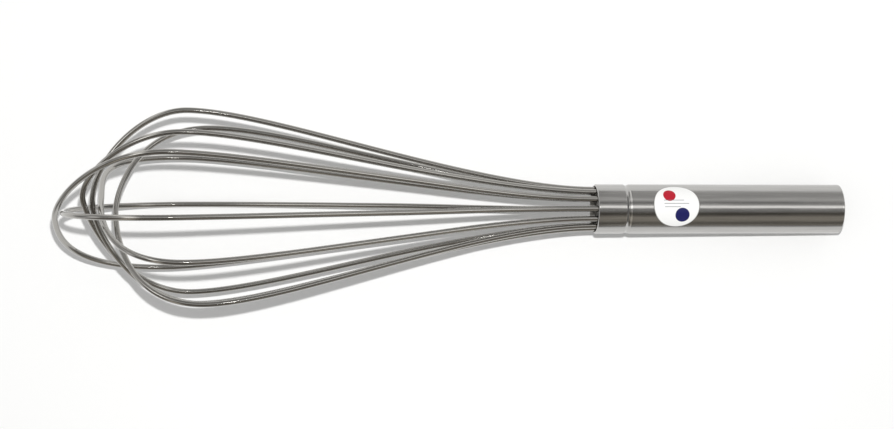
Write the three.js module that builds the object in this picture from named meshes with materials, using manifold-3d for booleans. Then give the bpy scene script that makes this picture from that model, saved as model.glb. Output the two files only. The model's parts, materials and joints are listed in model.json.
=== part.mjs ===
// Balloon whisk: six wire loops seated in a notched plug in a round steel handle.
// Millimetres, +Z up. The whisk is drawn along its own axis, mouth of the handle at x = 0,
// tail of the handle towards +X, loops towards -X, and is then laid on the table.
import * as THREE from 'three';
import { mergeVertices } from 'three/addons/utils/BufferGeometryUtils.js';
import Module from 'manifold-3d';

const wasm = await Module();
wasm.setup();

// ---------------------------------------------------------------- driving dimensions
const fitGap = 0.3; // air left between two pieces that meet

const handleLength = 112; // mouth to tail, over the end cap
const tubeDiameter = 22;
const tubeWall = 0.8;
const mouthRounding = 0.7; // outer edge of the mouth
const tailRounding = 0.6; // outer edge of the end cap
const capThickness = 1.5;
const capSpigotLength = 4;
const capSpigotWall = 1.5;

const grooveAt = 14; // mouth to the middle of the rolled groove
const grooveWidth = 3.2;
const grooveDepth = 0.55;

const wireDiameter = 2.5;
const seatedLength = 26; // straight end of each wire inside the handle
const seatRecess = 2.3; // mouth to the front face of the seat
const seatLength = 16;
const seatChamfer = 0.4;
const sealLength = 16; // resin behind the seat

const leaveLength = 54; // how long a wire keeps its seated direction
const arriveLength = 36; // how long it runs level before its widest place
const settleLength = 90; // mouth to where a loop lies in its own plane
const bellyRadius = 42.5; // axis to the wire's centre at the widest place

const labelDiameter = 21;
const labelThickness = 0.25;
const labelAt = 35; // mouth to the middle of the label
const labelTurn = 9; // degrees, from the top of the handle towards +Y

// Each loop was bent by hand, so each has its own shape. Degrees and millimetres:
// seat: notch of its upper end, counted from the top towards +Y.  turn: its plane, from +Z towards +Y.
// reach: mouth to the tip.  bellies: mouth to the widest place, upper and lower side.
// shift: belly off-centre, upper side.  lean: tip off-centre, upper side.
// sway: tip out of the loop's plane.  nose: fullness at the tip.
// shoulders: fullness beyond the belly, upper and lower side.
const loops = [
  {
    seat: 1, turn: 36, reach: 237, bellies: [188.5, 191],
    shift: -1.5, lean: -6, sway: -1, nose: 13, shoulders: [30, 43.5],
  },
  {
    seat: 0, turn: -4, reach: 233, bellies: [188.5, 185.5],
    shift: -1.5, lean: 0, sway: -1.5, nose: 26, shoulders: [25, 24],
  },
  {
    seat: 2, turn: 55, reach: 224.5, bellies: [181.5, 179],
    shift: -2.5, lean: 7, sway: -1, nose: 10, shoulders: [25, 30],
  },
  {
    seat: 3, turn: 81.5, reach: 220.5, bellies: [180, 175],
    shift: 0.5, lean: 3.5, sway: -0.5, nose: 16, shoulders: [20.5, 24.5],
  },
  {
    seat: -1, turn: -32.5, reach: 217, bellies: [181.5, 183],
    shift: 1, lean: -5.5, sway: 1.5, nose: 16.5, shoulders: [31.5, 40],
  },
  {
    seat: -2, turn: -65, reach: 211, bellies: [172, 171.5],
    shift: 1, lean: -1.5, sway: -5.5, nose: 10, shoulders: [34.5, 31.5],
  },
];

// ---------------------------------------------------------------- fits that follow from them
const wireRadius = wireDiameter / 2;
const tubeRadius = tubeDiameter / 2;
const boreRadius = tubeRadius - tubeWall;
const plugRadius = boreRadius - fitGap;
const seatRadius = boreRadius - fitGap - wireRadius; // axis to each wire's centre in the handle
const notchRadius = wireRadius + fitGap;
const notchCount = 2 * loops.length;
const notchPitch = 360 / notchCount; // degrees
const tubeEnd = handleLength - capThickness - fitGap;
const sealStart = seatRecess + seatLength + fitGap;

// ---------------------------------------------------------------- mesh fineness
const roundSides = 48;
const holeSides = 16;
const wireSides = 8;
const wireSteps = 84;
const arcSteps = 4;
const grooveSteps = 6;
const labelRings = 6;
const labelSides = 40;

// ---------------------------------------------------------------- helpers
function turned(outline) {
  // A profile of (radius, distance from the mouth) turned about the whisk's axis, +X.
  return new THREE.LatheGeometry(outline, roundSides).rotateZ(-Math.PI / 2);
}

function arcPoints(radiusAt, distanceAt, radius, from, to) {
  return new THREE.EllipseCurve(radiusAt, distanceAt, radius, radius, from, to).getPoints(arcSteps);
}

function toSolid(geometry) {
  const bare = geometry.clone();
  bare.deleteAttribute('normal');
  bare.deleteAttribute('uv');
  const merged = mergeVertices(bare);
  return new wasm.Manifold(new wasm.Mesh({
    numProp: 3,
    vertProperties: new Float32Array(merged.attributes.position.array),
    triVerts: new Uint32Array(merged.index.array),
  }));
}

function toGeometry(solid) {
  const mesh = solid.getMesh();
  const geometry = new THREE.BufferGeometry();
  geometry.setAttribute('position', new THREE.BufferAttribute(new Float32Array(mesh.vertProperties), 3));
  geometry.setIndex(new THREE.BufferAttribute(new Uint32Array(mesh.triVerts), 1));
  geometry.computeVertexNormals();
  return geometry;
}

function steel(color, roughness) {
  return new THREE.MeshStandardMaterial({ color, roughness, metalness: 1 });
}

function piece(name, geometry, material) {
  const mesh = new THREE.Mesh(geometry, material);
  mesh.name = name;
  return mesh;
}

// ---------------------------------------------------------------- handle
function handleTube() {
  const grooveStart = new THREE.Vector2(tubeRadius, grooveAt - grooveWidth / 2);
  const grooveBottom = new THREE.Vector2(tubeRadius - grooveDepth, grooveAt);
  const grooveEnd = new THREE.Vector2(tubeRadius, grooveAt + grooveWidth / 2);
  const ease = new THREE.Vector2(0, grooveWidth / 4);
  const intoGroove = new THREE.CubicBezierCurve(
    grooveStart,
    grooveStart.clone().add(ease),
    grooveBottom.clone().sub(ease),
    grooveBottom,
  );
  const outOfGroove = new THREE.CubicBezierCurve(
    grooveBottom,
    grooveBottom.clone().add(ease),
    grooveEnd.clone().sub(ease),
    grooveEnd,
  );
  const outline = [
    new THREE.Vector2(boreRadius, 0),
    ...arcPoints(tubeRadius - mouthRounding, mouthRounding, mouthRounding, -Math.PI / 2, 0),
    ...intoGroove.getPoints(grooveSteps),
    ...outOfGroove.getPoints(grooveSteps).slice(1),
    new THREE.Vector2(tubeRadius, tubeEnd),
    new THREE.Vector2(boreRadius, tubeEnd),
    new THREE.Vector2(boreRadius, 0),
  ];
  return piece('handle_tube', turned(outline), steel(0xb4b2ad, 0.32));
}

function tailCap() {
  // A flat pressed cap with a short skirt that goes into the tube.
  const under = handleLength - capThickness;
  const outline = [
    new THREE.Vector2(0, under),
    new THREE.Vector2(plugRadius - capSpigotWall, under),
    new THREE.Vector2(plugRadius - capSpigotWall, under - capSpigotLength),
    new THREE.Vector2(plugRadius, under - capSpigotLength),
    new THREE.Vector2(plugRadius, under),
    new THREE.Vector2(tubeRadius, under),
    ...arcPoints(tubeRadius - tailRounding, handleLength - tailRounding, tailRounding, 0, Math.PI / 2),
    new THREE.Vector2(0, handleLength),
  ];
  return piece('tail_cap', turned(outline), steel(0xaeaca7, 0.34));
}

// ---------------------------------------------------------------- what holds the wires
function wireHoles(start, length) {
  // One round hole for each wire end, from start, running length along the axis.
  const holes = [];
  for (let i = 0; i < notchCount; i++) {
    const angle = THREE.MathUtils.degToRad(i * notchPitch);
    const hole = new THREE.CylinderGeometry(notchRadius, notchRadius, length, holeSides);
    hole.rotateZ(-Math.PI / 2);
    hole.translate(start + length / 2, seatRadius * Math.sin(angle), seatRadius * Math.cos(angle));
    holes.push(toSolid(hole));
  }
  return holes;
}

function wireSeat() {
  const front = seatRecess;
  const back = seatRecess + seatLength;
  const plug = toSolid(turned([
    new THREE.Vector2(0, front),
    new THREE.Vector2(plugRadius - seatChamfer, front),
    new THREE.Vector2(plugRadius, front + seatChamfer),
    new THREE.Vector2(plugRadius, back),
    new THREE.Vector2(0, back),
  ]));
  const notched = wireHoles(front - 1, seatLength + 2).reduce((solid, hole) => solid.subtract(hole), plug);
  return piece('wire_seat', toGeometry(notched), steel(0x8f8d88, 0.45));
}

function sealPlug() {
  // Resin cast behind the seat, round the wire ends.
  const back = sealStart + sealLength;
  const plug = toSolid(turned([
    new THREE.Vector2(0, sealStart),
    new THREE.Vector2(plugRadius, sealStart),
    new THREE.Vector2(plugRadius, back),
    new THREE.Vector2(0, back),
  ]));
  const holeDepth = seatedLength + fitGap - sealStart;
  const holes = wireHoles(sealStart - 1, holeDepth + 1);
  const cast = holes.reduce((solid, hole) => solid.subtract(hole), plug);
  const resin = new THREE.MeshStandardMaterial({ color: 0x3a3a38, roughness: 0.5, metalness: 0 });
  return piece('seal_plug', toGeometry(cast), resin);
}

// ---------------------------------------------------------------- wires
class LoopCurve extends THREE.Curve {
  // One loop's centre line: a flat outline of (distance from the mouth, distance from the axis),
  // stood in a plane through the axis that turns from its seat to the loop's own plane.
  constructor(loop) {
    super();
    this.loop = loop;
    this.outline = loopOutline(loop);
  }

  getPoint(t, target = new THREE.Vector3()) {
    const flat = this.outline.getPointAt(t);
    const settled = THREE.MathUtils.smoothstep(flat.x, 0, settleLength);
    const degrees = THREE.MathUtils.lerp(this.loop.seat * notchPitch, this.loop.turn, settled);
    const angle = THREE.MathUtils.degToRad(degrees);
    const aside = this.loop.sway * (Math.max(flat.x, 0) / this.loop.reach) ** 2;
    const y = flat.y * Math.sin(angle) + aside * Math.cos(angle);
    const z = flat.y * Math.cos(angle) - aside * Math.sin(angle);
    return target.set(-flat.x, y, z);
  }
}

function loopOutline(loop) {
  const outline = new THREE.CurvePath();
  const upper = bellyRadius + loop.shift;
  const lower = -(bellyRadius - loop.shift);
  const at = (distance, radius) => new THREE.Vector2(distance, radius);
  outline.add(new THREE.LineCurve(at(-seatedLength, seatRadius), at(0, seatRadius)));
  outline.add(new THREE.CubicBezierCurve(
    at(0, seatRadius),
    at(leaveLength, seatRadius),
    at(loop.bellies[0] - arriveLength, upper),
    at(loop.bellies[0], upper),
  ));
  outline.add(new THREE.CubicBezierCurve(
    at(loop.bellies[0], upper),
    at(loop.bellies[0] + loop.shoulders[0], upper),
    at(loop.reach, loop.lean + loop.nose),
    at(loop.reach, loop.lean),
  ));
  outline.add(new THREE.CubicBezierCurve(
    at(loop.reach, loop.lean),
    at(loop.reach, loop.lean - loop.nose),
    at(loop.bellies[1] + loop.shoulders[1], lower),
    at(loop.bellies[1], lower),
  ));
  outline.add(new THREE.CubicBezierCurve(
    at(loop.bellies[1], lower),
    at(loop.bellies[1] - arriveLength, lower),
    at(leaveLength, -seatRadius),
    at(0, -seatRadius),
  ));
  outline.add(new THREE.LineCurve(at(0, -seatRadius), at(-seatedLength, -seatRadius)));
  return outline;
}

function wireLoop(loop, index) {
  const section = new THREE.Shape();
  section.absarc(0, 0, wireRadius, 0, 2 * Math.PI);
  const geometry = new THREE.ExtrudeGeometry(section, {
    steps: wireSteps,
    curveSegments: wireSides / 2,
    extrudePath: new LoopCurve(loop),
  });
  return piece(`wire_loop_${index + 1}`, geometry, steel(0xa8a6a0, 0.22));
}

// ---------------------------------------------------------------- label
function label() {
  // A thin round disc, drawn flat in rings and then wrapped round the handle.
  const radii = Array.from({ length: labelRings + 1 }, (_, i) => (i * labelDiameter) / 2 / labelRings);
  const outline = [
    ...radii.map((radius) => new THREE.Vector2(radius, 0)),
    ...radii.reverse().map((radius) => new THREE.Vector2(radius, labelThickness)),
  ];
  const geometry = new THREE.LatheGeometry(outline, labelSides);
  const places = geometry.attributes.position;
  const under = tubeRadius + fitGap;
  for (let i = 0; i < places.count; i++) {
    const along = labelAt + places.getX(i);
    const angle = THREE.MathUtils.degToRad(labelTurn) - places.getZ(i) / tubeRadius;
    const radius = under + places.getY(i);
    places.setXYZ(i, along, radius * Math.sin(angle), radius * Math.cos(angle));
  }
  const paper = new THREE.MeshStandardMaterial({ color: 0xf2f2f0, roughness: 0.45, metalness: 0 });
  return piece('label', geometry, paper);
}

// ---------------------------------------------------------------- laying it on the table
function lowestOf(meshes, tilt) {
  let lowest = Infinity;
  for (const mesh of meshes) {
    const places = mesh.geometry.attributes.position;
    for (let i = 0; i < places.count; i++) {
      const height = places.getZ(i) * Math.cos(tilt) - places.getX(i) * Math.sin(tilt);
      lowest = Math.min(lowest, height);
    }
  }
  return lowest;
}

function restingTilt(wires, handle) {
  // The tilt at which the lowest wire and the tail of the handle touch the table together.
  let level = 0;
  let steep = Math.PI / 4;
  for (let i = 0; i < 40; i++) {
    const middle = (level + steep) / 2;
    if (lowestOf(wires, middle) < lowestOf(handle, middle)) {
      level = middle;
    } else {
      steep = middle;
    }
  }
  return level;
}

const wires = loops.map(wireLoop);
const handle = [handleTube(), tailCap()];
const whisk = new THREE.Group();
whisk.add(...handle, wireSeat(), sealPlug(), label(), ...wires);
whisk.rotation.y = restingTilt(wires, handle);

const part = new THREE.Group();
part.add(whisk);
part.updateMatrixWorld(true);
const box = new THREE.Box3().setFromObject(part, true);
whisk.position.set(-(box.min.x + box.max.x) / 2, -(box.min.y + box.max.y) / 2, -box.min.z);

export default part;
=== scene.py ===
"""Balloon whisk: six hand-bent wire loops in a notched seat inside a drawn steel handle.

Run as a script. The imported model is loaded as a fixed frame, each fine piece is made around it, and
the studio comes last. Everything is in metres, with +Z up and the table at z = 0.
"""
import json
import math

import bmesh
import bpy
from bpy.props import FloatProperty, FloatVectorProperty, IntProperty, PointerProperty
from mathutils import Matrix, Vector
from mathutils.geometry import interpolate_bezier


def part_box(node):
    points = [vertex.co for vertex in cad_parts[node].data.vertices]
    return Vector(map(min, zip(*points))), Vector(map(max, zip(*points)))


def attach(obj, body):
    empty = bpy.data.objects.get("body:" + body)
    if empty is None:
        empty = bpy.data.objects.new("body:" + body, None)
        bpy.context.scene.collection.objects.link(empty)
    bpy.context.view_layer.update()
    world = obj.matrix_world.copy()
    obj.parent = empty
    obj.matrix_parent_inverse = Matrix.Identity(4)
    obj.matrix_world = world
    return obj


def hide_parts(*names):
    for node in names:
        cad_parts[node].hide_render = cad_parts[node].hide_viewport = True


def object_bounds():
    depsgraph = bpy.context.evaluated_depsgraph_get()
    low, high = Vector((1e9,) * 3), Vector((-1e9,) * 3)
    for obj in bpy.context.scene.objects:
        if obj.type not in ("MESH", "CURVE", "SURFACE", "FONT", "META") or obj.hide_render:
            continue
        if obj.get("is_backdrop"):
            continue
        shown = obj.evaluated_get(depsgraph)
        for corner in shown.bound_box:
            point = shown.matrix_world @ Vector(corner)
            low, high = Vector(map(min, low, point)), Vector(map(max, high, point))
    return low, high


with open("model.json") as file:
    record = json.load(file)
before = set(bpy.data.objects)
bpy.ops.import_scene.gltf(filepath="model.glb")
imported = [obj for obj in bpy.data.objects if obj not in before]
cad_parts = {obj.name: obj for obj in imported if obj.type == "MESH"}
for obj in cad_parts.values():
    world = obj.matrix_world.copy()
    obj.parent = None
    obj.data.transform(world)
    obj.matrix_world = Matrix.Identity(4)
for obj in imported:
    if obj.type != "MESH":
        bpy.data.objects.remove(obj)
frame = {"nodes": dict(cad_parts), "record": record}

bl_info = {
    "name": "Balloon Whisk",
    "version": (1, 0, 0),
    "blender": (4, 5, 0),
    "location": "3D View > Sidebar > Whisk",
    "description": "Makes a steel balloon whisk of six wire loops, piece by piece",
    "category": "Add Mesh",
}

MM = 0.001
CAD_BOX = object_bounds()

# The tail mount gives the end of the handle and the direction of the whisk's axis.
TAIL = next(mount for mount in frame["record"]["mounts"] if mount["name"] == "tail_face")
TAIL_CENTRE = Vector(TAIL["pos_m"])
AXIS = Vector(TAIL["axis"]).normalized()
ACROSS = Vector((0, 1, 0))
TILT = math.atan2(-AXIS.z, AXIS.x)

TUBE_LOW, TUBE_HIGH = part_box("handle_tube")
TUBE_DIAMETER = TUBE_HIGH.y - TUBE_LOW.y

# Each loop was bent by hand. Degrees and millimetres, the same as in the CAD.
# seat: notch of its upper end, counted from the top towards +Y.  turn: its plane, from +Z towards +Y.
# reach: mouth to the tip.  bellies: mouth to the widest place, upper and lower side.
# shift: belly off-centre, upper side.  lean: tip off-centre, upper side.
# sway: tip out of the loop's plane.  nose: fullness at the tip.
# shoulders: fullness beyond the belly, upper and lower side.
LOOPS = (
    dict(seat=1, turn=36, reach=237, bellies=(188.5, 191), shift=-1.5, lean=-6, sway=-1,
         nose=13, shoulders=(30, 43.5)),
    dict(seat=0, turn=-4, reach=233, bellies=(188.5, 185.5), shift=-1.5, lean=0, sway=-1.5,
         nose=26, shoulders=(25, 24)),
    dict(seat=2, turn=55, reach=224.5, bellies=(181.5, 179), shift=-2.5, lean=7, sway=-1,
         nose=10, shoulders=(25, 30)),
    dict(seat=3, turn=81.5, reach=220.5, bellies=(180, 175), shift=0.5, lean=3.5, sway=-0.5,
         nose=16, shoulders=(20.5, 24.5)),
    dict(seat=-1, turn=-32.5, reach=217, bellies=(181.5, 183), shift=1, lean=-5.5, sway=1.5,
         nose=16.5, shoulders=(31.5, 40)),
    dict(seat=-2, turn=-65, reach=211, bellies=(172, 171.5), shift=1, lean=-1.5, sway=-5.5,
         nose=10, shoulders=(34.5, 31.5)),
)
NOTCHES = 2 * len(LOOPS)
LEAVE_LENGTH = 54 * MM  # how long a wire keeps its seated direction
ARRIVE_LENGTH = 36 * MM  # how long it runs level before its widest place
SETTLE_LENGTH = 90 * MM  # mouth to where a loop lies in its own plane

# The room that the steel reflects, by angle round the whisk's length: 0 is straight up and 90 is level
# on the +Y side. A narrow ceiling lamp runs along it. The darker part on the -Y side is a little warm.
PLAIN = (1.01, 1.0, 0.985)
WARM = (1.09, 1.01, 0.88)
ROOM = (
    (-90, 0.30, PLAIN), (-84, 0.26, WARM), (-72, 0.12, WARM), (-60, 0.26, WARM), (-52, 0.33, WARM),
    (-40, 0.31, WARM), (-33, 0.17, WARM), (-27, 0.07, WARM), (-22, 0.06, WARM), (-17, 0.13, WARM),
    (-11, 0.31, PLAIN), (1, 0.31, PLAIN), (4, 0.65, PLAIN), (7, 1.85, PLAIN), (11, 1.85, PLAIN),
    (15, 0.85, PLAIN), (20, 0.50, PLAIN), (26, 0.27, PLAIN), (31, 0.24, PLAIN), (37, 0.50, PLAIN),
    (44, 0.68, PLAIN), (51, 0.57, PLAIN), (60, 0.48, PLAIN), (80, 0.48, PLAIN), (90, 0.60, PLAIN),
)
# How bright the same room is along the whisk's length: 0 is straight up and 90 is level, tail side.
# Three pale screens cross it: one low beyond the loops, one high over them and one high over the tail.
ALONG = (
    (-90, 0.7), (-76, 1.0), (-71, 2.2), (-62, 2.2), (-56, 0.8), (-34, 0.8), (-28, 2.2), (-22, 2.2),
    (-14, 0.75), (4, 0.7), (11, 1.0), (26, 1.0), (31, 1.6), (39, 1.6), (46, 0.7), (90, 0.6),
)
END_WALL = (0.34, 0.34, 0.34, 1)  # what stands beyond either end of the whisk
BACKDROP = (0.93, 0.93, 0.92, 1)  # the room as the camera sees it, behind the board

MERGE_DISTANCE = 1e-7  # points closer than this are one point
BEND_POINTS = 240  # points on each of a loop's four bends, before they are spread evenly
BOARD_HALF = 0.6  # metres, middle of the board to its side
BOARD_FADE = (0.26, 0.55)  # metres from the middle, where the board starts and ends thinning out


def linear(code):
    """Turn an sRGB hex code into the linear numbers that Blender works with."""
    shares = [int(code[place:place + 2], 16) / 255 for place in (1, 3, 5)]
    return tuple(c / 12.92 if c <= 0.04045 else ((c + 0.055) / 1.055) ** 2.4 for c in shares)


# ------------------------------------------------------------------ what a user may change
def length(name, description, default):
    """A length in metres, shown in the scene's unit."""
    return FloatProperty(
        name=name, description=description, default=default, min=0, subtype="DISTANCE", unit="LENGTH",
    )


def colour(name, description, code):
    """A plain colour, kept linear."""
    return FloatVectorProperty(
        name=name, description=description, default=linear(code), min=0, max=1, size=3, subtype="COLOR",
    )


class HandleSizes(bpy.types.PropertyGroup):
    """Sizes of the handle and of what it holds"""

    length: length("Length", "Mouth to tail, over the end cap", 112 * MM)
    diameter: length("Diameter", "Outside of the tube", TUBE_DIAMETER)
    wall: length("Wall", "Thickness of the tube's wall", 0.8 * MM)
    lip: length("Lip", "Depth of the bevel round the mouth", 0.45 * MM)
    tail_edge: length("Tail edge", "Rounding of the end cap", 0.4 * MM)
    cap: length("Cap", "Thickness of the end cap", 1.5 * MM)
    groove_at: length("Groove at", "Mouth to the middle of the rolled groove", 14 * MM)
    groove_width: length("Groove width", "Shoulder to shoulder", 3.2 * MM)
    groove_depth: length("Groove depth", "Depth of the rolled groove", 0.5 * MM)
    seat_recess: length("Seat recess", "Mouth to the front face of the seat", 2.3 * MM)
    seat_length: length("Seat length", "Length of the notched seat", 16 * MM)
    sides: IntProperty(name="Sides", description="Facets round the handle", default=192, min=24)


class WireSizes(bpy.types.PropertyGroup):
    """Sizes of the wire loops"""

    diameter: length("Diameter", "Thickness of the wire", 2.5 * MM)
    seated: length("Seated", "Straight end of each wire inside the handle", 26 * MM)
    seat_radius: length("Seat radius", "Axis to the middle of each seated wire", 8.65 * MM)
    belly: length("Belly", "Axis to the middle of the wire at the widest place", 42.5 * MM)
    step: length("Step", "Length of one facet along the wire", 1.1 * MM)
    sides: IntProperty(name="Sides", description="Facets round the wire", default=24, min=8)


class LabelSizes(bpy.types.PropertyGroup):
    """Sizes of the round label"""

    diameter: length("Diameter", "Across the disc, measured flat", 20.8 * MM)
    thickness: length("Thickness", "Film and adhesive together", 0.12 * MM)
    at: length("At", "Mouth to the middle of the label", 35 * MM)
    turn: FloatProperty(
        name="Turn", description="From the top of the handle towards +Y",
        default=math.radians(9), subtype="ANGLE", unit="ROTATION",
    )


class Finishes(bpy.types.PropertyGroup):
    """Colours of the materials"""

    tube: colour("Tube steel", "Bright steel of the handle", "#B3B2B0")
    wire: colour("Wire steel", "Bright steel of the wires", "#ADABA7")
    seat: colour("Seat steel", "Matt steel of the notched seat", "#D6D4CF")
    resin: colour("Resin", "Cast sealing resin", "#3A3A38")
    film: colour("Label film", "White of the label", "#F4F4F2")
    upper_dot: colour("Upper dot", "Dot printed on the upper half", "#B40F28")
    lower_dot: colour("Lower dot", "Dot printed on the lower half", "#171A58")
    table: colour("Table", "Pale board that the whisk lies on", "#F8F8F7")


class Studio(bpy.types.PropertyGroup):
    """Camera and light"""

    camera_offset: FloatVectorProperty(
        name="Camera offset", description="Camera from the middle of the whisk's box, seen from above",
        default=(-3.2 * MM, -3.0 * MM), size=2, subtype="XYZ_LENGTH", unit="LENGTH",
    )
    camera_height: length("Camera height", "Camera above the table", 855 * MM)
    lens: FloatProperty(name="Lens", description="Focal length in millimetres", default=75, min=1)
    lamp_offset: FloatVectorProperty(
        name="Lamp offset", description="Lamp from the middle of the whisk's box, seen from above",
        default=(9 * MM, 66 * MM), size=2, subtype="XYZ_LENGTH", unit="LENGTH",
    )
    lamp_height: length("Lamp height", "Lamp above the table", 850 * MM)
    lamp_size: length("Lamp size", "Across the lamp", 16 * MM)
    lamp_power: FloatProperty(name="Lamp power", description="Lamp's power in watts", default=4.75, min=0)
    spark_size: length("Spark size", "Across the weak lamp that shows in the steel", 40 * MM)
    spark_power: FloatProperty(name="Spark power", description="Its power in watts", default=0.1, min=0)
    ambient: FloatProperty(name="Ambient", description="Even light from the room", default=0.485, min=0)


# ------------------------------------------------------------------ meshes
def whisk_matrix(handle_length):
    """Place of the whisk's own frame: mouth at its origin, tail along +X, loops along -X."""
    mouth = TAIL_CENTRE - AXIS * handle_length
    upward = AXIS.cross(ACROSS)
    return Matrix.Translation(mouth) @ Matrix((AXIS, ACROSS, upward)).transposed().to_4x4()


def finished(bm, name, context, materials, node, smooth=35):
    """Make a piece from a mesh drawn in the whisk's frame, and let it stand for its CAD node."""
    bmesh.ops.remove_doubles(bm, verts=bm.verts, dist=MERGE_DISTANCE)
    bmesh.ops.recalc_face_normals(bm, faces=bm.faces)
    bm.transform(whisk_matrix(context.scene.whisk_handle.length))
    mesh = bpy.data.meshes.new(name)
    bm.to_mesh(mesh)
    bm.free()
    mesh.shade_smooth()
    mesh.set_sharp_from_angle(angle=math.radians(smooth))
    for material in materials:
        mesh.materials.append(material)
    piece = bpy.data.objects.new(name, mesh)
    context.collection.objects.link(piece)
    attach(piece, "root")
    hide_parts(node)
    return piece


def arc(distance, radius, size, start, end, steps=8):
    """Points of (distance, radius) on a round corner, from one angle to another in degrees."""
    angles = [math.radians(start + (end - start) * step / steps) for step in range(steps + 1)]
    return [(distance + size * math.cos(a), radius + size * math.sin(a)) for a in angles]


def turn(outline, sides, closed):
    """Turn an outline of (distance, radius) points about the whisk's axis."""
    bm = bmesh.new()
    points = [bm.verts.new((distance, 0, radius)) for distance, radius in outline]
    pairs = list(zip(points, points[1:]))
    if closed:
        pairs.append((points[-1], points[0]))
    edges = [bm.edges.new(pair) for pair in pairs]
    bmesh.ops.spin(
        bm, geom=points + edges, cent=(0, 0, 0), axis=(1, 0, 0), angle=2 * math.pi, steps=sides,
        use_merge=True,
    )
    return bm


def loop_outline(loop, wire):
    """One loop drawn flat, as points of (distance from the mouth, distance from the axis)."""
    seat = wire.seat_radius
    bellies = [distance * MM for distance in loop["bellies"]]
    upper = wire.belly + loop["shift"] * MM
    lower = -(wire.belly - loop["shift"] * MM)
    reach = loop["reach"] * MM
    lean = loop["lean"] * MM
    nose = loop["nose"] * MM
    shoulders = [size * MM for size in loop["shoulders"]]
    bends = (
        ((0, seat), (LEAVE_LENGTH, seat), (bellies[0] - ARRIVE_LENGTH, upper), (bellies[0], upper)),
        ((bellies[0], upper), (bellies[0] + shoulders[0], upper), (reach, lean + nose), (reach, lean)),
        ((reach, lean), (reach, lean - nose), (bellies[1] + shoulders[1], lower), (bellies[1], lower)),
        ((bellies[1], lower), (bellies[1] - ARRIVE_LENGTH, lower), (LEAVE_LENGTH, -seat), (0, -seat)),
    )
    points = [Vector((-wire.seated, seat))]
    for bend in bends:
        points += interpolate_bezier(*[Vector(point) for point in bend], BEND_POINTS)[:-1]
    points += [Vector((0, -seat)), Vector((-wire.seated, -seat))]
    return points


def loop_path(loop, wire):
    """The middle line of one loop, stood in its plane, which turns from its seat to its own place."""
    path = []
    for distance, radius in loop_outline(loop, wire):
        share = min(max(distance / SETTLE_LENGTH, 0), 1)
        settled = share * share * (3 - 2 * share)
        seat_angle = loop["seat"] * 360 / NOTCHES
        angle = math.radians(seat_angle + (loop["turn"] - seat_angle) * settled)
        aside = loop["sway"] * MM * (max(distance, 0) / (loop["reach"] * MM)) ** 2
        path.append(Vector((
            -distance,
            radius * math.sin(angle) + aside * math.cos(angle),
            radius * math.cos(angle) - aside * math.sin(angle),
        )))
    return path


def even_steps(path, step):
    """The same path with its points spread evenly, about one step apart."""
    reached = [0.0]
    for a, b in zip(path, path[1:]):
        reached.append(reached[-1] + (b - a).length)
    count = round(reached[-1] / step)
    spread, place = [], 0
    for i in range(count + 1):
        wanted = reached[-1] * i / count
        while place < len(path) - 2 and reached[place + 1] < wanted:
            place += 1
        share = (wanted - reached[place]) / (reached[place + 1] - reached[place])
        spread.append(path[place].lerp(path[place + 1], share))
    return spread


def wire_mesh(path, radius, sides):
    """A round wire along a path, with softened ends and a map of (length along, length round)."""
    bm = bmesh.new()
    along_round = bm.loops.layers.uv.new("along_round")
    soften = 0.15 * radius
    headings = [(b - a).normalized() for a, b in zip(path[:1] + path[:-1], path[1:] + path[-1:])]
    first, last = headings[0], headings[-1]
    places = [(path[0], first, radius - soften), (path[0] + first * soften, first, radius)]
    places += [(point, heading, radius) for point, heading in zip(path[1:-1], headings[1:-1])]
    places += [(path[-1] - last * soften, last, radius), (path[-1], last, radius - soften)]
    side = first.orthogonal().normalized()
    rings, reached = [], [0.0]
    for i, (point, heading, size) in enumerate(places):
        side = (side - side.dot(heading) * heading).normalized()
        up = heading.cross(side)
        angles = [2 * math.pi * step / sides for step in range(sides)]
        spots = [point + size * (side * math.cos(a) + up * math.sin(a)) for a in angles]
        rings.append([bm.verts.new(spot) for spot in spots])
        if i:
            reached.append(reached[-1] + (point - places[i - 1][0]).length)
    arc_length = 2 * math.pi * radius / sides
    for i, (near, far) in enumerate(zip(rings, rings[1:])):
        for j in range(sides):
            face = bm.faces.new((near[j], near[(j + 1) % sides], far[(j + 1) % sides], far[j]))
            corners = ((i, j), (i, j + 1), (i + 1, j + 1), (i + 1, j))
            for corner, (ring, step) in zip(face.loops, corners):
                corner[along_round].uv = (reached[ring], step * arc_length)
    bm.faces.new(rings[0])
    bm.faces.new(rings[-1])
    return bm


# ------------------------------------------------------------------ materials
def add(tree, kind, inputs=None, stops=None, **settings):
    """Add a node to a tree. Inputs hold numbers, colours, or outputs of other nodes to link."""
    made = tree.nodes.new(kind)
    for name, value in settings.items():
        setattr(made, name, value)
    for name, value in (inputs or {}).items():
        if isinstance(value, bpy.types.NodeSocket):
            tree.links.new(value, made.inputs[name])
        else:
            made.inputs[name].default_value = value
    for i, (place, value) in enumerate(stops or ()):
        elements = made.color_ramp.elements
        stop = elements[i] if i < 2 else elements.new(place)
        stop.position = place
        stop.color = value
    return made


def new_material(name):
    """An empty node material, and its tree."""
    material = bpy.data.materials.new(name)
    material.use_nodes = True
    material.node_tree.nodes.clear()
    return material, material.node_tree


def finish_material(tree, shader):
    """Give the tree its output."""
    add(tree, "ShaderNodeOutputMaterial", {"Surface": shader.outputs["BSDF"]})


def whisk_place(tree, handle_length):
    """Coordinates in the whisk's frame, in metres: x along the handle, y and z across it."""
    mouth = TAIL_CENTRE - AXIS * handle_length
    here = add(tree, "ShaderNodeTexCoord").outputs["Object"]
    inputs = {"Vector": here, "Location": mouth, "Rotation": (0, TILT, 0)}
    return add(tree, "ShaderNodeMapping", inputs, vector_type="TEXTURE").outputs["Vector"]


def shade(colour_value, factor):
    """A colour made lighter or darker, with its alpha."""
    return tuple(min(channel * factor, 1) for channel in colour_value) + (1,)


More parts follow.
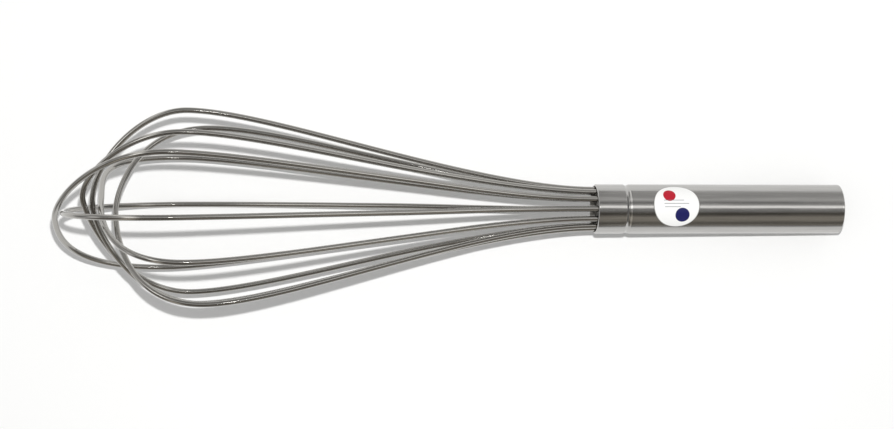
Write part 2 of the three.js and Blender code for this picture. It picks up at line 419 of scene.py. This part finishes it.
def ground_tube_steel(handle, steel):
    """18/8 stainless tube, drawn and then ground along its length on a fine belt.

    Lines run the length of the handle and spread reflections round it, so lamps show as long streaks.
    """
    material, tree = new_material("ground_stainless_tube")
    place = whisk_place(tree, handle.length)
    # Belt lines are near 0.1 mm apart. They are drawn 1.4 mm apart and finer, so that some show.
    lines_at = add(tree, "ShaderNodeVectorMath", {0: place, 1: (28, 700, 700)}, operation="MULTIPLY")
    lines = add(
        tree, "ShaderNodeTexNoise",
        {"Vector": lines_at.outputs["Vector"], "Scale": 1, "Detail": 3, "Roughness": 0.6},
    )
    # Drawing and handling leave a soft waviness, about 14 mm round the tube and 22 mm along it.
    patches_at = add(tree, "ShaderNodeVectorMath", {0: place, 1: (45, 70, 70)}, operation="MULTIPLY")
    patches = add(
        tree, "ShaderNodeTexNoise", {"Vector": patches_at.outputs["Vector"], "Scale": 1, "Detail": 2},
    )
    tone = add(
        tree, "ShaderNodeMix",
        {"Factor": lines.outputs["Fac"], 6: shade(steel, 0.74), 7: shade(steel, 1.26)}, data_type="RGBA",
    )
    worn = add(
        tree, "ShaderNodeMapRange",
        {"Value": patches.outputs["Fac"], "From Min": 0.3, "From Max": 0.7, "To Min": 0, "To Max": 0.04},
    )
    rough = add(
        tree, "ShaderNodeMapRange",
        {"Value": lines.outputs["Fac"], "From Min": 0.3, "From Max": 0.7, "To Min": 0.11, "To Max": 0.17},
    )
    total = add(tree, "ShaderNodeMath", {0: rough.outputs["Result"], 1: worn.outputs["Result"]})
    ridges = add(
        tree, "ShaderNodeBump",
        {"Height": lines.outputs["Fac"], "Strength": 0.5, "Distance": 0.004 * MM},
    )
    waves = add(
        tree, "ShaderNodeBump",
        {"Height": patches.outputs["Fac"], "Strength": 1, "Distance": 0.06 * MM,
         "Normal": ridges.outputs["Normal"]},
    )
    normal = add(tree, "ShaderNodeNewGeometry").outputs["Normal"]
    around = add(tree, "ShaderNodeVectorMath", {0: AXIS, 1: normal}, operation="CROSS_PRODUCT")
    shader = add(tree, "ShaderNodeBsdfPrincipled", {
        "Base Color": tone.outputs[2], "Metallic": 1, "Roughness": total.outputs["Value"],
        "Anisotropic": 0.3, "Tangent": around.outputs["Vector"], "Normal": waves.outputs["Normal"],
    })
    finish_material(tree, shader)
    return material


def spun_cap_steel(handle, steel):
    """18/8 stainless sheet, pressed and then spun against a fine abrasive.

    Rings run round the end face and turn lamps into soft wedges of light.
    """
    material, tree = new_material("spun_stainless_cap")
    place = whisk_place(tree, handle.length)
    across = add(tree, "ShaderNodeVectorMath", {0: place, 1: (0, 1, 1)}, operation="MULTIPLY")
    radius = add(tree, "ShaderNodeVectorMath", {0: across.outputs["Vector"]}, operation="LENGTH")
    # Abrasive rings are near 0.1 mm apart. They are drawn 0.5 mm apart, so that some show.
    rings = add(
        tree, "ShaderNodeTexNoise",
        {"W": radius.outputs["Value"], "Scale": 2000, "Detail": 2}, noise_dimensions="1D",
    )
    tone = add(
        tree, "ShaderNodeMix",
        {"Factor": rings.outputs["Fac"], 6: shade(steel, 0.84), 7: shade(steel, 1.06)}, data_type="RGBA",
    )
    rough = add(
        tree, "ShaderNodeMapRange", {"Value": rings.outputs["Fac"], "To Min": 0.24, "To Max": 0.36},
    )
    ridges = add(
        tree, "ShaderNodeBump",
        {"Height": rings.outputs["Fac"], "Strength": 0.5, "Distance": 0.01 * MM},
    )
    shader = add(tree, "ShaderNodeBsdfPrincipled", {
        "Base Color": tone.outputs[2], "Metallic": 1, "Roughness": rough.outputs["Result"],
        "Normal": ridges.outputs["Normal"],
    })
    finish_material(tree, shader)
    return material


def spring_wire_steel(steel):
    """18/8 stainless spring wire, cold drawn through a die and barrel polished.

    The die leaves faint lines along a bright, slightly warm wire, and polishing leaves soft mottling.
    """
    material, tree = new_material("drawn_stainless_wire")
    along_round = add(tree, "ShaderNodeUVMap", uv_map="along_round").outputs["UV"]
    # Die lines are near 0.05 mm apart. They are drawn 0.5 mm apart, so that they show.
    lines_at = add(tree, "ShaderNodeVectorMath", {0: along_round, 1: (40, 2000, 1)}, operation="MULTIPLY")
    lines = add(
        tree, "ShaderNodeTexNoise", {"Vector": lines_at.outputs["Vector"], "Scale": 1, "Detail": 2},
    )
    here = add(tree, "ShaderNodeTexCoord").outputs["Object"]
    # Mottling from polishing and handling, about 8 mm across.
    mottle = add(tree, "ShaderNodeTexNoise", {"Vector": here, "Scale": 120, "Detail": 2})
    tone = add(
        tree, "ShaderNodeMix",
        {"Factor": lines.outputs["Fac"], 6: shade(steel, 0.82), 7: shade(steel, 1.1)}, data_type="RGBA",
    )
    rough = add(
        tree, "ShaderNodeMapRange",
        {"Value": mottle.outputs["Fac"], "From Min": 0.3, "From Max": 0.7, "To Min": 0.06, "To Max": 0.12},
    )
    ridges = add(
        tree, "ShaderNodeBump",
        {"Height": lines.outputs["Fac"], "Strength": 0.4, "Distance": 0.003 * MM},
    )
    shader = add(tree, "ShaderNodeBsdfPrincipled", {
        "Base Color": tone.outputs[2], "Metallic": 1, "Roughness": rough.outputs["Result"],
        "Normal": ridges.outputs["Normal"],
    })
    finish_material(tree, shader)
    return material


def matt_steel(name, handle, steel):
    """Stainless as machined or drawn and left matt, with a dry film of dust and grease.

    Feed rings on the face catch the light in thin circles. The film makes it paler than polished steel.
    """
    material, tree = new_material(name)
    place = whisk_place(tree, handle.length)
    across = add(tree, "ShaderNodeVectorMath", {0: place, 1: (0, 1, 1)}, operation="MULTIPLY")
    radius = add(tree, "ShaderNodeVectorMath", {0: across.outputs["Vector"]}, operation="LENGTH")
    # One feed ring each 0.25 mm.
    turns = add(tree, "ShaderNodeMath", {0: radius.outputs["Value"], 1: 2 * math.pi / (0.25 * MM)},
                operation="MULTIPLY")
    ring = add(tree, "ShaderNodeMath", {0: turns.outputs["Value"]}, operation="SINE")
    stain = add(tree, "ShaderNodeTexNoise", {"Vector": place, "Scale": 350, "Detail": 3})
    tone = add(
        tree, "ShaderNodeMix",
        {"Factor": stain.outputs["Fac"], 6: shade(steel, 0.7), 7: shade(steel, 1.15)}, data_type="RGBA",
    )
    rough = add(
        tree, "ShaderNodeMapRange", {"Value": stain.outputs["Fac"], "To Min": 0.4, "To Max": 0.6},
    )
    ridges = add(
        tree, "ShaderNodeBump",
        {"Height": ring.outputs["Value"], "Strength": 0.5, "Distance": 0.006 * MM},
    )
    shader = add(tree, "ShaderNodeBsdfPrincipled", {
        "Base Color": tone.outputs[2], "Metallic": 0.6, "Roughness": rough.outputs["Result"],
        "Normal": ridges.outputs["Normal"],
    })
    finish_material(tree, shader)
    return material


def cast_epoxy(resin):
    """Epoxy cast behind the seat and left as poured, dark, glossy and a little uneven."""
    material, tree = new_material("cast_epoxy")
    here = add(tree, "ShaderNodeTexCoord").outputs["Object"]
    # Flow marks about 3 mm across.
    flow = add(tree, "ShaderNodeTexNoise", {"Vector": here, "Scale": 330, "Detail": 3})
    tone = add(
        tree, "ShaderNodeMix",
        {"Factor": flow.outputs["Fac"], 6: shade(resin, 0.6), 7: shade(resin, 1.4)}, data_type="RGBA",
    )
    rough = add(
        tree, "ShaderNodeMapRange", {"Value": flow.outputs["Fac"], "To Min": 0.25, "To Max": 0.45},
    )
    ripples = add(
        tree, "ShaderNodeBump", {"Height": flow.outputs["Fac"], "Strength": 0.4, "Distance": 0.1 * MM},
    )
    shader = add(tree, "ShaderNodeBsdfPrincipled", {
        "Base Color": tone.outputs[2], "Roughness": rough.outputs["Result"], "IOR": 1.55,
        "Normal": ripples.outputs["Normal"],
    })
    finish_material(tree, shader)
    return material


# Printed shapes on the label, in millimetres from its middle: (along, across), half size, end radius.
UPPER_DOT = ((-3.0, 4.6), (2.8, 2.8), 2.8)
LOWER_DOT = ((2.6, -4.4), (3.2, 3.2), 3.2)
RULES = (
    ((-1.2, 2.2), (4.6, 0.12), 0.1),
    ((0, 0.7), (5.6, 0.12), 0.1),
    ((-1.8, -0.8), (3.6, 0.12), 0.1),
)


def printed(tree, flat, shape):
    """How much ink a printed shape leaves at each place, from 0 to 1, with a 0.1 mm soft edge."""
    middle, half, end = shape
    off = add(tree, "ShaderNodeVectorMath", {0: flat, 1: (*middle, 0)}, operation="SUBTRACT")
    folded = add(tree, "ShaderNodeVectorMath", {0: off.outputs["Vector"]}, operation="ABSOLUTE")
    beyond = add(
        tree, "ShaderNodeVectorMath",
        {0: folded.outputs["Vector"], 1: (half[0] - end, half[1] - end, 0)}, operation="SUBTRACT",
    )
    outside = add(tree, "ShaderNodeVectorMath", {0: beyond.outputs["Vector"], 1: (0, 0, 0)},
                  operation="MAXIMUM")
    gap = add(tree, "ShaderNodeVectorMath", {0: outside.outputs["Vector"]}, operation="LENGTH")
    return add(
        tree, "ShaderNodeMapRange",
        {"Value": gap.outputs["Value"], "From Min": end - 0.05, "From Max": end + 0.05,
         "To Min": 1, "To Max": 0},
    ).outputs["Result"]


def printed_film(label, finishes):
    """White polypropylene label film, printed with two dots and three rules and varnished.

    It is smooth and glossy, with a faint paper-like grain. Its cut edge is darker, partly from dust held
    there and partly from a painted shadow of the edge.
    """
    material, tree = new_material("printed_label_film")
    metres = add(tree, "ShaderNodeUVMap", uv_map="along_across").outputs["UV"]
    scaled = add(tree, "ShaderNodeVectorMath", {0: metres, "Scale": 1 / MM}, operation="SCALE")
    flat = scaled.outputs["Vector"]
    # Grain of the film, about 0.8 mm.
    grain = add(tree, "ShaderNodeTexNoise", {"Vector": flat, "Scale": 1.2, "Detail": 4})
    white = add(
        tree, "ShaderNodeMix",
        {"Factor": grain.outputs["Fac"], 6: shade(finishes.film, 0.95), 7: shade(finishes.film, 1.02)},
        data_type="RGBA",
    )
    face = white.outputs[2]
    inks = [(UPPER_DOT, finishes.upper_dot), (LOWER_DOT, finishes.lower_dot)]
    inks += [(rule, linear("#6E7076")) for rule in RULES]
    for shape, ink in inks:
        cover = printed(tree, flat, shape)
        face = add(
            tree, "ShaderNodeMix", {"Factor": cover, 6: face, 7: shade(ink, 1)}, data_type="RGBA",
        ).outputs[2]
    # A dark ring along the cut edge: partly dust held there, partly a painted shadow of the film's edge.
    radius = add(tree, "ShaderNodeVectorMath", {0: flat}, operation="LENGTH")
    rim = label.diameter / MM / 2
    edge_dust_and_shade = add(
        tree, "ShaderNodeMapRange",
        {"Value": radius.outputs["Value"], "From Min": rim - 0.45, "From Max": rim - 0.1, "To Max": 0.9},
    )
    face = add(
        tree, "ShaderNodeMix",
        {"Factor": edge_dust_and_shade.outputs["Result"], 6: face, 7: (*linear("#4E4B47"), 1)}, data_type="RGBA",
    ).outputs[2]
    rough = add(
        tree, "ShaderNodeMapRange", {"Value": grain.outputs["Fac"], "To Min": 0.3, "To Max": 0.42},
    )
    surface = add(
        tree, "ShaderNodeBump", {"Height": grain.outputs["Fac"], "Strength": 0.2, "Distance": 0.02 * MM},
    )
    shader = add(tree, "ShaderNodeBsdfPrincipled", {
        "Base Color": face, "Roughness": rough.outputs["Result"], "IOR": 1.49,
        "Normal": surface.outputs["Normal"],
    })
    finish_material(tree, shader)
    return material


def matt_board(table):
    """White laminated board, matt and clean, which gives soft plain shadows.

    It thins out well away from the whisk, so that it runs into the pale room without an edge.
    """
    material, tree = new_material("matt_white_board")
    here = add(tree, "ShaderNodeTexCoord").outputs["Object"]
    # Very faint clouding, about 60 mm across.
    clouds = add(tree, "ShaderNodeTexNoise", {"Vector": here, "Scale": 16, "Detail": 2})
    tone = add(
        tree, "ShaderNodeMix",
        {"Factor": clouds.outputs["Fac"], 6: shade(table, 0.99), 7: shade(table, 1.0)}, data_type="RGBA",
    )
    away = add(tree, "ShaderNodeVectorMath", {0: here}, operation="LENGTH")
    kept = add(
        tree, "ShaderNodeMapRange",
        {"Value": away.outputs["Value"], "From Min": BOARD_FADE[0], "From Max": BOARD_FADE[1],
         "To Min": 1, "To Max": 0},
        interpolation_type="SMOOTHSTEP",
    )
    shader = add(tree, "ShaderNodeBsdfPrincipled", {
        "Base Color": tone.outputs[2], "Roughness": 0.9, "Specular IOR Level": 0.2,
        "Alpha": kept.outputs["Result"],
    })
    finish_material(tree, shader)
    return material


# ------------------------------------------------------------------ studio
def lay_board(context, height):
    """Lay a wide pale board under the whisk."""
    board = bpy.data.meshes.new("table_board")
    corners = [(-1, -1), (1, -1), (1, 1), (-1, 1)]
    board.from_pydata([(x * BOARD_HALF, y * BOARD_HALF, height) for x, y in corners], [], [(0, 1, 2, 3)])
    board.materials.append(matt_board(context.scene.whisk_finishes.table))
    table = bpy.data.objects.new("table_board", board)
    context.collection.objects.link(table)
    table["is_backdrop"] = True


def bands(tree, angle, stops):
    """Colours by an angle between -90 and 90 degrees, from stops of (degrees, colour)."""
    share = add(
        tree, "ShaderNodeMapRange",
        {"Value": angle.outputs["Value"], "From Min": -math.pi / 2, "From Max": math.pi / 2},
    )
    places = [((degrees + 90) / 180, colour_value) for degrees, colour_value in stops]
    return add(tree, "ShaderNodeValToRGB", {"Fac": share.outputs["Result"]}, places).outputs["Color"]


def mirrored_room(tree):
    """The room that the steel reflects: bands of light round the whisk, crossed by pale screens."""
    toward = add(tree, "ShaderNodeTexCoord").outputs["Generated"]
    parts = add(tree, "ShaderNodeSeparateXYZ", {"Vector": toward})
    around = add(
        tree, "ShaderNodeMath", {0: parts.outputs["Y"], 1: parts.outputs["Z"]}, operation="ARCTAN2",
    )
    lengthwise = add(tree, "ShaderNodeMath", {0: parts.outputs["X"]}, operation="ARCSINE")
    sideways = add(tree, "ShaderNodeMath", {0: parts.outputs["X"]}, operation="ABSOLUTE")
    strips = [
        (degrees, tuple(bright * channel for channel in tint) + (1,)) for degrees, bright, tint in ROOM
    ]
    screens = [(degrees, (bright, bright, bright, 1)) for degrees, bright in ALONG]
    end_wall = add(
        tree, "ShaderNodeMapRange",
        {"Value": sideways.outputs["Value"], "From Min": 0.7, "From Max": 0.97},
        interpolation_type="SMOOTHSTEP",
    )
    walls = add(
        tree, "ShaderNodeMix",
        {"Factor": end_wall.outputs["Result"], 6: bands(tree, around, strips), 7: END_WALL},
        data_type="RGBA",
    )
    return add(
        tree, "ShaderNodeMix", {"Factor": 1, 6: walls.outputs[2], 7: bands(tree, lengthwise, screens)},
        data_type="RGBA", blend_type="MULTIPLY",
    ).outputs[2]


def light_room(scene, ambient):
    """Even light for everything, the mirrored room for reflections, and a plain backdrop."""
    world = bpy.data.worlds.new("soft_room")
    scene.world = world
    world.use_nodes = True
    world.cycles.sampling_method = "NONE"
    tree = world.node_tree
    tree.nodes.clear()
    sight = add(tree, "ShaderNodeLightPath")
    even = (ambient, ambient, ambient, 1)
    lit = add(
        tree, "ShaderNodeMix",
        {"Factor": sight.outputs["Is Glossy Ray"], 6: even, 7: mirrored_room(tree)}, data_type="RGBA",
    )
    seen = add(
        tree, "ShaderNodeMix",
        {"Factor": sight.outputs["Is Camera Ray"], 6: lit.outputs[2], 7: BACKDROP}, data_type="RGBA",
    )
    light = add(tree, "ShaderNodeBackground", {"Color": seen.outputs[2], "Strength": 1})
    add(tree, "ShaderNodeOutputWorld", {"Surface": light.outputs["Background"]})


def hang_lamp(context, name, size, power, place, aim):
    """A round lamp that shines along aim and isn't seen itself."""
    data = bpy.data.lights.new(name, "AREA")
    data.shape = "DISK"
    data.size = size
    data.energy = power
    lamp = bpy.data.objects.new(name, data)
    lamp.location = place
    lamp.rotation_euler = aim.to_track_quat("-Z", "Y").to_euler()
    lamp.visible_camera = False
    context.collection.objects.link(lamp)
    return lamp


def place_camera(context, studio, middle):
    """Put the camera straight above the whisk."""
    data = bpy.data.cameras.new("camera")
    data.lens = studio.lens
    data.sensor_width = 36
    data.clip_start = 0.05
    camera = bpy.data.objects.new("camera", data)
    camera.location = (
        middle.x + studio.camera_offset[0], middle.y + studio.camera_offset[1], studio.camera_height,
    )
    context.collection.objects.link(camera)
    context.scene.camera = camera


# ------------------------------------------------------------------ one operator for each piece
class WHISK_OT_handle_tube(bpy.types.Operator):
    """Make the drawn tube of the handle, with its bevelled lip and its rolled groove"""

    bl_idname = "balloon_whisk.handle_tube"
    bl_label = "Handle Tube"

    def execute(self, context):
        handle = context.scene.whisk_handle
        outer = handle.diameter / 2
        bore = outer - handle.wall
        end = handle.length - handle.cap
        # The mouth has a rounded inner edge, a narrow flat ring and a bevel that runs out softly.
        inner_edge = 0.2 * MM
        flat_ring = 0.24 * MM
        bevel_start = (0.04 * MM, bore + 0.32 * MM)
        bevel_end = (handle.lip - 0.1 * MM, outer - 0.07 * MM)
        run_out = [(handle.lip, outer - 0.015 * MM), (handle.lip + 0.15 * MM, outer)]
        outline = arc(inner_edge, bore + inner_edge, inner_edge, 270, 180)
        outline += [(0, bore + flat_ring), bevel_start, bevel_end, *run_out]
        groove_steps = 28
        for i in range(groove_steps + 1):
            off = handle.groove_width * (i / groove_steps - 0.5)
            dip = handle.groove_depth * math.cos(math.pi * off / handle.groove_width) ** 2
            outline.append((handle.groove_at + off, outer - dip))
        outline += [(end, outer), (end, bore)]
        finishes = context.scene.whisk_finishes
        outside = ground_tube_steel(handle, finishes.tube)
        inside = matt_steel("drawn_stainless_bore", handle, finishes.seat)
        tube = finished(turn(outline, handle.sides, True), "handle_drawn_tube", context,
                        [outside, inside], "handle_tube")
        near_bore = bore + 0.1 * MM
        for face in tube.data.polygons:
            from_tail = face.center - TAIL_CENTRE
            radius = (from_tail - from_tail.dot(AXIS) * AXIS).length
            face.material_index = int(radius < near_bore)
        return {"FINISHED"}


class WHISK_OT_tail_cap(bpy.types.Operator):
    """Make the pressed cap that closes the tail of the handle"""

    bl_idname = "balloon_whisk.tail_cap"
    bl_label = "Tail Cap"

    def execute(self, context):
        handle = context.scene.whisk_handle
        outer = handle.diameter / 2
        bore_gap = 0.05 * MM
        end_gap = 0.01 * MM
        skirt_wall = 1.5 * MM
        skirt_depth = 4 * MM
        skirt = outer - handle.wall - bore_gap
        under = handle.length - handle.cap + end_gap
        outline = [
            (under, 0), (under, skirt - skirt_wall), (under - skirt_depth, skirt - skirt_wall),
            (under - skirt_depth, skirt), (under, skirt), (under, outer),
        ]
        edge = handle.tail_edge
        outline += arc(handle.length - edge, outer - edge, edge, 90, 0, 12)
        outline += [(handle.length, outer * share) for share in (0.8, 0.5, 0)]
        finishes = context.scene.whisk_finishes
        materials = [ground_tube_steel(handle, finishes.tube), spun_cap_steel(handle, finishes.tube)]
        cap = finished(turn(outline, handle.sides, False), "handle_end_cap", context, materials,
                       "tail_cap")
        facing_out = 0.7
        for face in cap.data.polygons:
            face.material_index = int(face.normal.dot(AXIS) > facing_out)
        return {"FINISHED"}


class WHISK_OT_wire_seat(bpy.types.Operator):
    """Make the notched seat that spaces the wire ends in the mouth"""

    bl_idname = "balloon_whisk.wire_seat"
    bl_label = "Wire Seat"

    def execute(self, context):
        handle = context.scene.whisk_handle
        wire = context.scene.whisk_wires
        bore_gap = 0.03 * MM
        wire_gap = 0.06 * MM
        notch_steps = 12
        rim_steps = 8
        rim = handle.diameter / 2 - handle.wall - bore_gap
        half = wire.diameter / 2 + wire_gap
        reach = math.sqrt(rim * rim - half * half)
        edge = math.asin(half / rim)
        gap = 2 * math.pi / NOTCHES - 2 * edge
        shape = []
        for i in range(NOTCHES):
            angle = 2 * math.pi * i / NOTCHES
            out = Vector((math.sin(angle), math.cos(angle)))
            side = Vector((math.cos(angle), -math.sin(angle)))
            shape.append(out * reach - side * half)
            for step in range(notch_steps + 1):
                round_angle = math.pi * step / notch_steps
                shape.append(out * (wire.seat_radius - half * math.sin(round_angle))
                             - side * half * math.cos(round_angle))
            shape.append(out * reach + side * half)
            # Fault, still to mend: these points run back to the notch before and not on to the next,
            # so the outline crosses itself. The angle should be angle + edge + gap * step / rim_steps.
            for step in range(1, rim_steps):
                rim_angle = angle - edge - gap * step / rim_steps
                shape.append(Vector((math.sin(rim_angle), math.cos(rim_angle))) * rim)
        bm = bmesh.new()
        front = [bm.verts.new((handle.seat_recess, y, z)) for y, z in shape]
        face = bm.faces.new(front)
        block = bmesh.ops.extrude_face_region(bm, geom=[face])
        back = [item for item in block["geom"] if isinstance(item, bmesh.types.BMVert)]
        bmesh.ops.translate(bm, verts=back, vec=(handle.seat_length, 0, 0))
        steel = matt_steel("turned_stainless_seat", handle, context.scene.whisk_finishes.seat)
        seat = finished(bm, "wire_seat_turned", context, [steel], "wire_seat")
        soften = seat.modifiers.new("softened_edges", "BEVEL")
        soften.width = 0.15 * MM
        soften.segments = 2
        soften.angle_limit = math.radians(50)
        return {"FINISHED"}


class WHISK_OT_seal(bpy.types.Operator):
    """Give the sealing resin behind the seat its material"""

    bl_idname = "balloon_whisk.seal"
    bl_label = "Resin Seal"

    def execute(self, context):
        seal = frame["nodes"]["seal_plug"]
        seal.material_slots[0].material = cast_epoxy(context.scene.whisk_finishes.resin)
        return {"FINISHED"}


class WHISK_OT_wire_loops(bpy.types.Operator):
    """Make the six wire loops, each with its own hand-bent shape"""

    bl_idname = "balloon_whisk.wire_loops"
    bl_label = "Wire Loops"

    def execute(self, context):
        wire = context.scene.whisk_wires
        steel = spring_wire_steel(context.scene.whisk_finishes.wire)
        for number, loop in enumerate(LOOPS, 1):
            path = even_steps(loop_path(loop, wire), wire.step)
            bm = wire_mesh(path, wire.diameter / 2, wire.sides)
            finished(bm, f"loop_wire_{number}", context, [steel], f"wire_loop_{number}")
        return {"FINISHED"}


class WHISK_OT_label(bpy.types.Operator):
    """Make the round film label and wrap it over the handle"""

    bl_idname = "balloon_whisk.label"
    bl_label = "Label"

    def execute(self, context):
        handle = context.scene.whisk_handle
        label = context.scene.whisk_label
        tube = handle.diameter / 2
        film_gap = 0.02 * MM
        under = tube + film_gap
        rim = label.diameter / 2
        edge = label.thickness / 2
        face_rings = 24
        edge_steps = 8
        sides = 144
        edge_angles = [math.pi * i / edge_steps for i in range(1, edge_steps)]
        rings = [(rim * i / face_rings, label.thickness) for i in range(face_rings)]
        rings += [(rim - edge * (1 - math.sin(a)), edge * (1 + math.cos(a))) for a in edge_angles]
        rings += [(rim * i / face_rings, 0) for i in range(face_rings - 1, -1, -1)]
        bm = bmesh.new()
        along_across = bm.loops.layers.uv.new("along_across")
        flat = {}
        made = []
        for radius, height in rings:
            ring = []
            for step in range(sides if radius else 1):
                angle = 2 * math.pi * step / sides
                along, across = radius * math.cos(angle), radius * math.sin(angle)
                round_angle = label.turn + across / tube
                reach = under + height
                vert = bm.verts.new((
                    label.at + along, reach * math.sin(round_angle), reach * math.cos(round_angle),
                ))
                flat[vert] = (along, across)
                ring.append(vert)
            made.append(ring)
        for near, far in zip(made, made[1:]):
            for step in range(sides):
                after = (step + 1) % sides
                corners = [near[step % len(near)], near[after % len(near)], far[after % len(far)],
                           far[step % len(far)]]
                bm.faces.new(list(dict.fromkeys(corners)))
        for face in bm.faces:
            for corner in face.loops:
                corner[along_across].uv = flat[corner.vert]
        film = printed_film(label, context.scene.whisk_finishes)
        finished(bm, "label_film", context, [film], "label")
        return {"FINISHED"}


class WHISK_OT_stage(bpy.types.Operator):
    """Set up the table, the room, the lamp and the camera"""

    bl_idname = "balloon_whisk.stage"
    bl_label = "Stage"

    def execute(self, context):
        scene = context.scene
        studio = scene.whisk_studio
        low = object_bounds()[0]
        middle = (CAD_BOX[0] + CAD_BOX[1]) / 2
        lay_board(context, low.z)
        light_room(scene, studio.ambient)

        place = Vector((
            middle.x + studio.lamp_offset[0], middle.y + studio.lamp_offset[1], studio.lamp_height,
        ))
        aim = middle - place
        key = hang_lamp(context, "key_lamp", studio.lamp_size, studio.lamp_power, place, aim)
        key.visible_glossy = False
        # A weak lamp at the same place is the one that shows in the steel, as small sparks.
        hang_lamp(context, "spark_lamp", studio.spark_size, studio.spark_power, place, aim)

        place_camera(context, studio, middle)
        scene.view_settings.view_transform = "Standard"
        return {"FINISHED"}


class WHISK_PT_panel(bpy.types.Panel):
    """Sizes, finishes and the steps that make the whisk"""

    bl_idname = "WHISK_PT_panel"
    bl_label = "Balloon Whisk"
    bl_space_type = "VIEW_3D"
    bl_region_type = "UI"
    bl_category = "Whisk"

    def draw(self, context):
        for operator in OPERATORS:
            self.layout.operator(operator.bl_idname)
        for group, (title, _) in GROUPS.items():
            box = self.layout.box()
            box.label(text=title)
            settings = getattr(context.scene, group)
            for name in settings.bl_rna.properties.keys():
                if name not in ("rna_type", "name"):
                    box.prop(settings, name)


GROUPS = {
    "whisk_handle": ("Handle", HandleSizes),
    "whisk_wires": ("Wires", WireSizes),
    "whisk_label": ("Label", LabelSizes),
    "whisk_finishes": ("Finishes", Finishes),
    "whisk_studio": ("Studio", Studio),
}
OPERATORS = (
    WHISK_OT_handle_tube,
    WHISK_OT_tail_cap,
    WHISK_OT_wire_seat,
    WHISK_OT_seal,
    WHISK_OT_wire_loops,
    WHISK_OT_label,
    WHISK_OT_stage,
)


def register():
    """Register the classes and put the settings on the scene."""
    for group, (title, kind) in GROUPS.items():
        bpy.utils.register_class(kind)
        setattr(bpy.types.Scene, group, PointerProperty(type=kind, name=title))
    for kind in OPERATORS:
        bpy.utils.register_class(kind)
    bpy.utils.register_class(WHISK_PT_panel)


def unregister():
    """Take the settings off the scene and unregister the classes."""
    bpy.utils.unregister_class(WHISK_PT_panel)
    for kind in reversed(OPERATORS):
        bpy.utils.unregister_class(kind)
    for group, (_, kind) in GROUPS.items():
        delattr(bpy.types.Scene, group)
        bpy.utils.unregister_class(kind)


def main():
    """Make every piece, then the stage."""
    register()
    bpy.ops.balloon_whisk.handle_tube()
    bpy.ops.balloon_whisk.tail_cap()
    bpy.ops.balloon_whisk.wire_seat()
    bpy.ops.balloon_whisk.seal()
    bpy.ops.balloon_whisk.wire_loops()
    bpy.ops.balloon_whisk.label()
    bpy.ops.balloon_whisk.stage()


if __name__ == "__main__":
    main()
